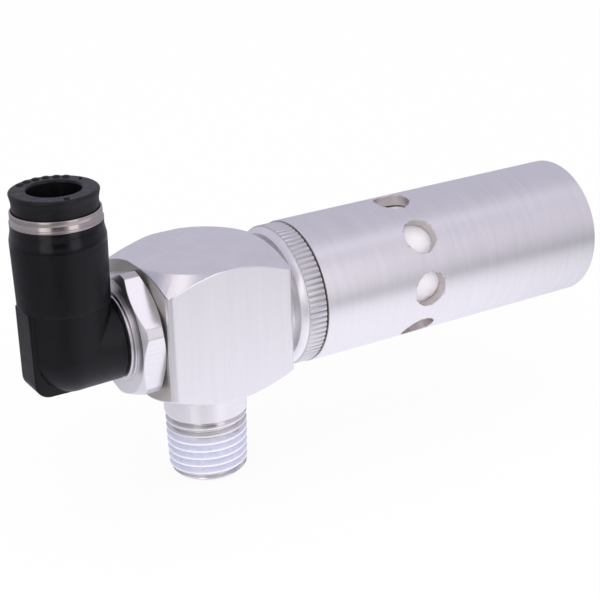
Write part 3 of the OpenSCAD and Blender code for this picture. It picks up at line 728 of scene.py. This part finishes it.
def directions(plain, corners=(), spread=0.06, extra=6):
    """Directions round an axis, packed closer together at the corners."""
    angles = {round(a, 6) for a in even_turn(plain)}
    for corner in corners:
        for k in range(-extra, extra + 1):
            angles.add(round((corner + spread * k / extra) % (2 * math.pi), 6))
    ordered = sorted(angles)
    return [a for a, b in zip(ordered, ordered[1:] + [9e9]) if b - a > 1e-4]


print("one corner adds", len(directions(120, [0.0])) - 120, "directions to a plain ring")

# %% From outlines to a skin


def sweep(bm, place, angles, outline_at):
    """A column of points for each direction, from the outline in that direction."""
    return [[bm.verts.new(place(r, t, a)) for r, t in outline_at(a)] for a in angles]


def join_columns(bm, columns, loop):
    """Skins neighbouring columns of points. A loop's last point meets its first."""
    count = len(columns[0])
    for j, here in enumerate(columns):
        there = columns[(j + 1) % len(columns)]
        for i in range(count if loop else count - 1):
            k = (i + 1) % count
            bm.faces.new((here[i], there[i], there[k], here[k]))


def close_turned(bm, columns):
    """Skins columns of points, then closes the skin with a flat face at both ends."""
    join_columns(bm, columns, loop=False)
    bm.faces.new([column[0] for column in columns])
    bm.faces.new([column[-1] for column in reversed(columns)])


print("skins come from", sweep.__name__, "and", join_columns.__name__)

# %% From points to a piece


def add_object(name, bm):
    """Turns a bmesh into an object in the scene."""
    mesh = bpy.data.meshes.new(name)
    bm.to_mesh(mesh)
    bm.free()
    return put(name, mesh)


def new_piece(name, bm, mats, body, stands_for):
    """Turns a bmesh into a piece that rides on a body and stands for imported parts."""
    bmesh.ops.remove_doubles(bm, verts=bm.verts, dist=1e-7)
    bmesh.ops.dissolve_degenerate(bm, dist=1e-7, edges=bm.edges)
    bmesh.ops.recalc_face_normals(bm, faces=bm.faces)
    open_edges = sum(1 for edge in bm.edges if len(edge.link_faces) != 2)
    obj = add_object(name, bm)
    for mat in mats:
        obj.data.materials.append(mat)
    if stands_for:
        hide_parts(*stands_for)
    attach(obj, body)
    print(name, "has", len(obj.data.polygons), "faces and", open_edges, "open edges")
    return obj


def smooth(obj, angle=35):
    """Smooth shading that leaves sharp edges sharp and large faces flat."""
    for face in obj.data.polygons:
        face.use_smooth = True
    obj.data.set_sharp_from_angle(angle=math.radians(angle))
    even_shading(obj).keep_sharp = True


# %% [markdown]
# ## The block and its thread
# The block is a piece of square bar, 22 mm across. A lathe turned both its
# ends to a 30 degree cone, which cuts the four corners and dies out towards
# the middle of each side. The outline below the flat end face is that cone,
# with a small rounding where it meets the face and where it meets the wall.
# A bar cut by a cone would need those two roundings added afterwards.

# %% Square bar, turned at both ends
EDGE = 1.0
FACE = 11.05
SLOPE = math.radians(30)
ROUNDING = 0.22


def bar_reach(angle):
    """How far the square bar reaches from its axis in one direction."""
    a = abs((angle + math.pi / 4) % (math.pi / 2) - math.pi / 4)
    inner = half - EDGE
    plain = half / math.cos(a)
    if plain * math.sin(a) <= inner:
        return plain
    d = inner * (math.cos(a) + math.sin(a))
    return d + math.sqrt(max(0.0, d * d - (2 * inner * inner - EDGE * EDGE)))


def arc(centre_r, centre_t, size, start, end, steps):
    """Points (radius, depth) along a small rounding."""
    turns = [start + (end - start) * k / steps for k in range(steps + 1)]
    return [(centre_r + size * math.cos(a), centre_t - size * math.sin(a)) for a in turns]


def turned_end(reach, face, slope, size, steps=4):
    """Points (radius, depth below the end) from the flat face down to the wall."""
    quarter = math.pi / 2
    if (reach - face) * math.tan(slope) > 0.02:
        inner = face - size * math.tan(slope / 2)
        outer = reach - size
        depth = (reach - face) * math.tan(slope) + size * (1 / math.cos(slope) - math.tan(slope))
        if outer > inner + 1e-3:
            return (arc(inner, size, size, quarter, quarter - slope, steps)
                    + arc(outer, depth, size, quarter - slope, 0, steps))
    return arc(reach - size, size, size, quarter, 0, 2 * steps + 1)


print("the bar reaches", round(bar_reach(math.pi / 4), 2), "mm at its corners")

# %% [markdown]
# The thread is a taper pipe thread: 19 turns to the inch on a cone of 1 in 16.
# The source carries it as closed rings. A real one is a helix, so it is drawn
# as a sheared grid: each row of points climbs one pitch in one turn and then
# meets the row above it. That keeps crest and root crisp with few faces.

# %% Thread form
PITCH = 1.337
DEPTH = 0.74
LEAD = 0.75
NECK = 6.85
THREADED = 10.8
tip_z = block_low.z
neck_z = tip_z + THREADED
THREAD_SHAPE = [(0.00, 1.0), (0.07, 0.98), (0.13, 0.86), (0.25, 0.5), (0.37, 0.14), (0.43, 0.02),
                (0.50, 0.0), (0.57, 0.02), (0.63, 0.14), (0.75, 0.5), (0.87, 0.86), (0.93, 0.98)]


def thread_depth(phase):
    """Share of the full depth at one place of a turn, from crest (0) to root (1)."""
    phase %= 1.0
    shape = THREAD_SHAPE + [(1.0, 1.0)]
    for (a, at_a), (b, at_b) in zip(shape, shape[1:]):
        if a <= phase <= b:
            return at_a + (at_b - at_a) * (phase - a) / (b - a)
    return 1.0


def thread_radius(angle, z):
    """Radius of the threaded end in one direction, at one height."""
    phase = (z - neck_z) / PITCH - angle / (2 * math.pi)
    run_out = min(1.0, max(0.0, (neck_z - z) / (0.5 * PITCH)))
    crest = GAUGE + z * TAPER
    lead_cone = GAUGE + tip_z * TAPER - LEAD + (z - tip_z)
    return min(crest - DEPTH * thread_depth(phase) * run_out, lead_cone)


print("thread has", round(THREADED / PITCH, 1), "turns")

# %% Sheared grid


def helix_rows(low, high):
    """Heights, in direction 0, of the rows that follow the helix."""
    first = math.floor((low - neck_z) / PITCH) - 1
    last = math.ceil((high - neck_z) / PITCH)
    return [neck_z + (k + part) * PITCH for k in range(first, last + 1) for part, _ in THREAD_SHAPE]


def helix_columns(bm, angles, low_at, high_at, radius):
    """Columns of points whose rows climb round the axis."""
    rows = helix_rows(min(low_at(a) for a in angles), max(high_at(a) for a in angles))
    columns = []
    for angle in angles:
        climb = PITCH * angle / (2 * math.pi)
        heights_here = [min(high_at(angle), max(low_at(angle), z + climb)) for z in rows]
        columns.append([bm.verts.new(about_z(radius(angle, z), z, angle)) for z in heights_here])
    return columns


def skin_helix(bm, columns):
    """Skins the sheared grid. At the seam each row meets the row one turn up."""
    count = len(columns[0])
    for j, here in enumerate(columns):
        seam = j == len(columns) - 1
        there = columns[0] if seam else columns[j + 1]
        step = len(THREAD_SHAPE) if seam else 0
        for i in range(count - 1):
            corner = (here[i], there[min(count - 1, i + step)],
                      there[min(count - 1, i + 1 + step)], here[i + 1])
            different = [v for k, v in enumerate(corner) if v not in corner[:k]]
            if len(different) > 2:
                bm.faces.new(different)


print("the helix takes", len(helix_rows(tip_z, neck_z)), "rows of points")

# %% Build the block
CORNER_SPREAD = math.radians(3.4)
bar_z = block_high.z - 2 * half
bar_corners = [math.pi / 4 + k * math.pi / 2 for k in range(4)]
around = directions(120, bar_corners, CORNER_SPREAD)
NECK_OUTLINE = [(NECK - 0.2, neck_z), (NECK - 0.06, neck_z + 0.06), (NECK, neck_z + 0.2),
                (NECK, bar_z - 0.25), (NECK + 0.07, bar_z - 0.07), (NECK + 0.25, bar_z),
                (NECK + 2.0, bar_z)]
TOP_RING = 6.0


def block_outline(angle):
    """The block from its neck to its top, in one direction."""
    end = turned_end(bar_reach(angle), FACE, SLOPE, ROUNDING)
    outline = NECK_OUTLINE + [(r, bar_z + t) for r, t in end]
    return outline + [(r, block_high.z - t) for r, t in reversed(end)] + [(TOP_RING, block_high.z)]


bm = bmesh.new()
thread = helix_columns(bm, around, lambda a: tip_z, lambda a: neck_z, thread_radius)
skin_helix(bm, thread)
upper = sweep(bm, about_z, around, block_outline)
join_columns(bm, upper, loop=False)
for j, column in enumerate(upper):
    k = (j + 1) % len(upper)
    bm.faces.new((thread[j][-1], thread[k][-1], upper[k][0], column[0]))
bm.faces.new([column[-1] for column in upper])
bm.faces.new([column[0] for column in thread])
block_finishes = [drawn_wall, turned_chamfer, faced_top, cut_thread, turned_neck, milled_side_painted_shade]
block = new_piece("block_with_thread", bm, block_finishes,
                  "block", ["ejector_body"])

# %% [markdown]
# The bores are drilled as on a real block: a cutter of the right outline is
# taken out of the solid. A boolean needs closed meshes, so each cutter is a
# closed lathe shape, and it is removed once the cut is made.

# %% Cutters


def cutter(name, outline, place, segments=96):
    """A closed turned shape of (radius, place) points, used only to cut."""
    bm = bmesh.new()
    close_turned(bm, sweep(bm, place, even_turn(segments), lambda a: outline))
    bmesh.ops.recalc_face_normals(bm, faces=bm.faces)
    return add_object(name, bm)


def carve(obj, tools):
    """Cuts the tools out of a piece, keeps the result, and removes the tools."""
    for tool in tools:
        cut = obj.modifiers.new("cut", "BOOLEAN")
        cut.operation = "DIFFERENCE"
        cut.solver = "EXACT"
        cut.object = tool
    bpy.context.view_layer.update()
    whole = obj.evaluated_get(bpy.context.evaluated_depsgraph_get())
    mesh = bpy.data.meshes.new_from_object(whole)
    obj.modifiers.clear()
    obj.data = mesh
    for tool in tools:
        bpy.data.objects.remove(tool)


print("uncut block has", len(block.data.polygons), "faces")

# %% Bore the block
PORT_BORE = [(4.1, tip_z - 1), (4.1, tip_z), (3.9, tip_z + 0.2), (3.9, axis_z)]
HALF_BORE = [(8.25, half + 1), (8.25, half - 1.3), (7.05, half - 1.3), (7.05, 4.2), (5.4, 4.2)]
LONG_BORE = [(r, -t) for r, t in HALF_BORE] + HALF_BORE[::-1]
carve(block, [cutter("port_bore", PORT_BORE, about_z), cutter("long_bore", LONG_BORE, about_x)])
smooth(block)
print("bored block has", len(block.data.polygons), "faces")

# %% [markdown]
# Six finishes meet on the one block. Where a face lies and which way it points
# say how it was cut, so a short rule hands each face its finish. Picking the
# faces by hand would have to be done again after every change of size.

# %% Walls drawn, ends turned, thread cut
WALL, CHAMFER, FACED, THREAD, NECK_PART, MILLED = range(6)


def block_finish(face):
    """Which of the block's six finishes a face gets."""
    centre, normal = face.center / MM, face.normal
    if centre.z < neck_z + 0.05:
        return THREAD
    if centre.z < bar_z - 0.05:
        return NECK_PART
    if abs(normal.z) > 0.999:
        return FACED
    if normal.x < -0.999:
        return MILLED
    if centre.z > bar_z and abs(normal.z) < 0.02:
        return WALL
    return CHAMFER


def finish_faces(obj, rule):
    """Gives every face the finish that a rule names, and counts the faces of each."""
    for face in obj.data.polygons:
        face.material_index = rule(face)
    used = [face.material_index for face in obj.data.polygons]
    return {mat.name: used.count(k) for k, mat in enumerate(obj.data.materials)}


print("faces:", finish_faces(block, block_finish))

# %% [markdown]
# ## The sealant coat
# The white coat is a tenth of a millimetre thick and follows the helix. It is
# brushed on, so its two ends wander and it thins out towards them. A second
# colour on the thread would look alike from afar, but it would have no edge.

# %% Coat on the thread
COAT = 0.10
COAT_EDGE = 0.012
LUMP_ROOM = 0.035
THIN_OVER = 0.35


def wander(angle, size, seed):
    """An uneven line round the thread."""
    return size * noise.noise(Vector((3 * math.cos(angle), 3 * math.sin(angle), seed)))


def coat_foot(angle):
    """Lower end of the coat in one direction."""
    return coat_low.z + 0.15 + wander(angle, 0.35, 2.0)


def coat_top(angle):
    """Upper end of the coat in one direction."""
    return coat_high.z - 0.25 + wander(angle, 0.5, 7.0)


def coat_radius(angle, z):
    """Outside of the coat: full in the middle, thin at its ends, a little lumpy."""
    from_end = min(z - coat_foot(angle), coat_top(angle) - z)
    fullness = min(1.0, max(0.0, from_end / THIN_OVER))
    point = Vector((6 * math.cos(angle), 6 * math.sin(angle), z))
    lumps = 0.02 * noise.noise(point * 1.8) + 0.012 * noise.noise(point * 5)
    edge = thread_radius(angle, z) + COAT_EDGE
    return edge + (COAT - LUMP_ROOM) * math.sqrt(fullness) + lumps * fullness


bm = bmesh.new()
coat_ways = directions(150)
outer = helix_columns(bm, coat_ways, coat_foot, coat_top, coat_radius)
inner = helix_columns(bm, coat_ways, coat_foot, coat_top, thread_radius)
skin_helix(bm, outer)
skin_helix(bm, inner)
for row in (0, -1):
    for j in range(len(coat_ways)):
        k = (j + 1) % len(coat_ways)
        bm.faces.new((outer[j][row], outer[k][row], inner[k][row], inner[j][row]))
coat = new_piece("sealant_coat", bm, [coat_white], "block", ["thread_sealant"])
smooth(coat, 60)

# %% [markdown]
# ## The hexagon plug
# The plug is a piece of hexagonal bar, 19 mm across its flats, screwed into
# the block. A lathe took off its six corners and cut a 30 degree cone on each
# end. A prism cut by a cone would do, but its edges would stay sharp. The swept
# outline has them rounded, and it holds the spigot and the bores too.

# %% Hexagon plug
ACROSS = 19.0
HEX_TURNED = 10.55
HEX_FACE = 9.4
FLAT_AT = math.radians(12)
SPIGOT = 7.0
HEX_ROUNDING = 0.16
HALF_LAND = math.radians(4.2)
EDGE_SPREAD = math.radians(1.0)
BORES = [(2.6, plug_high.x), (2.6, -6.2), (4.0, -6.2), (4.0, -8.9), (4.85, -8.9), (4.85, plug_low.x)]


def hex_reach(angle):
    """How far the turned hexagon reaches in one direction."""
    a = (angle - FLAT_AT + math.pi / 6) % (math.pi / 3) - math.pi / 6
    return min(ACROSS / 2 / math.cos(a), HEX_TURNED)


def hex_outline(angle):
    """Closed outline of the plug: both ends of the hexagon, the spigot and the bores."""
    end = turned_end(hex_reach(angle), HEX_FACE, SLOPE, HEX_ROUNDING)
    outline = [(r, plug_low.x + t) for r, t in end]
    outline += [(r, -half - t) for r, t in reversed(end)]
    outline += [(SPIGOT, -half), (SPIGOT, plug_high.x - 0.3), (SPIGOT - 0.3, plug_high.x)]
    return outline + BORES


hex_corners = [FLAT_AT + math.pi / 6 + k * math.pi / 3 for k in range(6)]
edge_lines = [c + side * HALF_LAND for c in hex_corners for side in (-1, 1)]
hex_ways = directions(120, edge_lines, EDGE_SPREAD, 3)
bm = bmesh.new()
join_columns(bm, sweep(bm, about_x, hex_ways, hex_outline), loop=True)
plug_finishes = [hex_turned, hex_flat, hex_land_painted_shade]
plug = new_piece("hexagon_plug", bm, plug_finishes, "block", ["hex_plug"])
smooth(plug)

# %% Flats of the hexagon
TURNED, FLAT, LAND = range(3)


def plug_finish(face):
    """Which of the plug's three finishes a face gets."""
    centre = face.center / MM
    if abs(face.normal.x) > 0.02 or centre.x > -half:
        return TURNED
    across = math.hypot(centre.y, centre.z - axis_z)
    return FLAT if across < HEX_TURNED - 0.06 else LAND


print("faces:", finish_faces(plug, plug_finish))

# %% [markdown]
# ## The cover
# The cover is a tube with one closed end and a row of eight exhaust holes. Its
# two ends are broken with a small rounding, and the holes have a thin bright
# rim. A swept tube with drilled holes gives both: the holes are cut first, and
# then every edge sharper than 40 degrees is rounded. Extra rows of points near
# the holes keep the shading of their rims from spreading along the tube.

# %% Cover
COVER_WALL = 1.8
HOLE_ROW = 37.1
HOLE_RADIUS = 3.0
HOLES = 8
FIRST_HOLE = math.radians(2.6)
END_WALL = 2.0
ROW_STEP = 0.45
cover_r = cover_high.y
bore = cover_r - COVER_WALL
near_holes = [HOLE_ROW + ROW_STEP * k for k in range(-9, 10)]
tube = [(0.8, cover_high.x - END_WALL), (bore, cover_high.x - END_WALL)]
tube += [(bore, x) for x in reversed(near_holes)]
tube += [(bore, cover_low.x), (cover_r, cover_low.x)]
tube += [(cover_r, x) for x in near_holes]
tube += [(cover_r, cover_high.x), (0.8, cover_high.x)]
bm = bmesh.new()
close_turned(bm, sweep(bm, about_x, directions(360), lambda a: tube))
cover = new_piece("perforated_cover", bm, [cover_metal], "block", ["silencer_cover"])
print("cover walls are", COVER_WALL, "mm thick")

# %% Drill the holes


def hole_place(hole_angle):
    """Turns (radius, depth, angle) of a drill into a point beside the hole's own axis."""
    def place(r, t, angle):
        along, across = r * math.cos(angle), r * math.sin(angle)
        y = t * math.cos(hole_angle) - across * math.sin(hole_angle)
        z = t * math.sin(hole_angle) + across * math.cos(hole_angle)
        return ((HOLE_ROW + along) * MM, y * MM, (axis_z + z) * MM)
    return place


BROKEN_EDGE = 0.10
DRILL = [(HOLE_RADIUS, bore - 1), (HOLE_RADIUS, cover_r + 1)]
ways = [FIRST_HOLE + k * 2 * math.pi / HOLES for k in range(HOLES)]
carve(cover, [cutter(f"drill_{k}", DRILL, hole_place(a), 64) for k, a in enumerate(ways)])
round_edges(cover, BROKEN_EDGE, 40).harden_normals = True
smooth(cover, 30)
print("drilled cover has", len(cover.data.polygons), "faces")

# %% [markdown]
# ## The porous sleeve
# Behind the holes sits the sound absorber, a sleeve of sintered white beads.
# Its surface is full of pores a few tenths of a millimetre wide. A bump in the
# finish would leave the mesh smooth, so they are pressed into the mesh, finely
# where the holes show it and coarsely elsewhere.

# %% Porous sleeve
SLEEVE_WALL = 3.4
BIG_PORE, SMALL_PORE = 0.16, 0.10
sleeve_radius = sleeve_high.y
sleeve_bore = sleeve_radius - SLEEVE_WALL


def pore(r, x, angle):
    """Depth of the pores at one point of a porous piece."""
    point = Vector((x, r * math.cos(angle), r * math.sin(angle)))
    coarse = noise.noise(point * 2.1)
    fine = noise.noise(point * 4.6 + Vector((5, 3, 8)))
    return BIG_PORE * max(0.0, coarse) + SMALL_PORE * max(0.0, fine)


places = {round(HOLE_ROW + 0.28 * k, 3) for k in range(-14, 15)}
places |= {sleeve_low.x + (sleeve_high.x - sleeve_low.x) * k / 14 for k in range(15)}
places = sorted(p for p in places if sleeve_low.x <= p <= sleeve_high.x)


def sleeve_outline(angle):
    """Closed outline of the sleeve's wall, with pores on the outside."""
    outline = [(sleeve_radius - pore(sleeve_radius, x, angle), x) for x in places]
    return outline + [(sleeve_bore, sleeve_high.x), (sleeve_bore, sleeve_low.x)]


bm = bmesh.new()
join_columns(bm, sweep(bm, about_x, directions(220), sleeve_outline), loop=True)
sleeve = new_piece("porous_sleeve", bm, [porous_white], "block", ["silencer_element"])
smooth(sleeve, 60)

# %% End pad
PAD_ROUNDING = 0.5
PAD_MIDDLE = 0.6
pad_radius = sleeve_radius - 0.05
pad_reach = sleeve_radius - PAD_ROUNDING - PAD_MIDDLE
pad_radii = [PAD_MIDDLE + pad_reach * k / 12 for k in range(13)]


def pad_outline(angle):
    """The pad from the middle of one flat face to the middle of the other."""
    outline = [(r, pad_low.x + pore(r, pad_low.x, angle)) for r in pad_radii]
    outline += [(pad_radius, pad_low.x + PAD_ROUNDING), (pad_radius, pad_high.x - PAD_ROUNDING)]
    return outline + [(r, pad_high.x - pore(r, pad_high.x, angle)) for r in reversed(pad_radii)]


bm = bmesh.new()
close_turned(bm, sweep(bm, about_x, directions(60), pad_outline))
end_pad = new_piece("porous_end_pad", bm, [porous_white], "block", ["element_pad"])
smooth(end_pad, 60)

# %% [markdown]
# ## Marks on the release ring
# The moulded ring has small raised marks on its top, which a thumb feels when
# it presses the ring. They could be a bump in the finish, but real ones catch
# the light at their edges. A row of short bars and a dot beside it are enough,
# with one bar across from them.

# %% Raised marks
MARK_HEIGHT = 0.22
MARK_RADIUS = 5.75
SIDES = 16
BEARINGS = (48, 63, 79, 95, 111, 127)
BAR_OUTLINE = [(1.0, -0.05), (0.92, MARK_HEIGHT * 0.6), (0.62, MARK_HEIGHT)]


def raised_bar(bm, bearing, radius, long_side, short_side):
    """A small bar that stands on the ring's top. Its outline gives shares of its size."""
    a = math.radians(bearing)
    out = Vector((math.cos(a), math.sin(a), 0))
    along = Vector((-math.sin(a), math.cos(a), 0))
    middle = Vector((leg_x, 0, ring_high.z)) + out * radius

    def place(share, z, t):
        c, s = math.cos(t), math.sin(t)
        u = math.copysign(abs(c) ** 0.5, c) * long_side / 2 * share
        v = math.copysign(abs(s) ** 0.5, s) * short_side / 2 * share
        return (middle + along * u + out * v + Vector((0, 0, z))) * MM

    close_turned(bm, sweep(bm, place, even_turn(SIDES), lambda t: BAR_OUTLINE))


bm = bmesh.new()
for bearing in BEARINGS:
    raised_bar(bm, bearing, MARK_RADIUS, 1.15, 0.95)
raised_bar(bm, 23, MARK_RADIUS, 0.45, 0.35)
raised_bar(bm, -94, MARK_RADIUS - 0.1, 0.9, 0.6)
marks = new_piece("release_marks", bm, [release_black], "release", [])
smooth(marks, 50)

# %% [markdown]
# ## Sizes, and the end
# The last lines print how far the dressed model stands out of the imported
# box.

# %% Print how far the sizes grew
bpy.context.scene.view_settings.view_transform = "Standard"
new_low, new_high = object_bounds()
growth = [round((b - a) / MM, 3) for a, b in zip([*new_low, *cad_high], [*cad_low, *new_high])]
print("stands proud of the packed box by", growth, "mm")
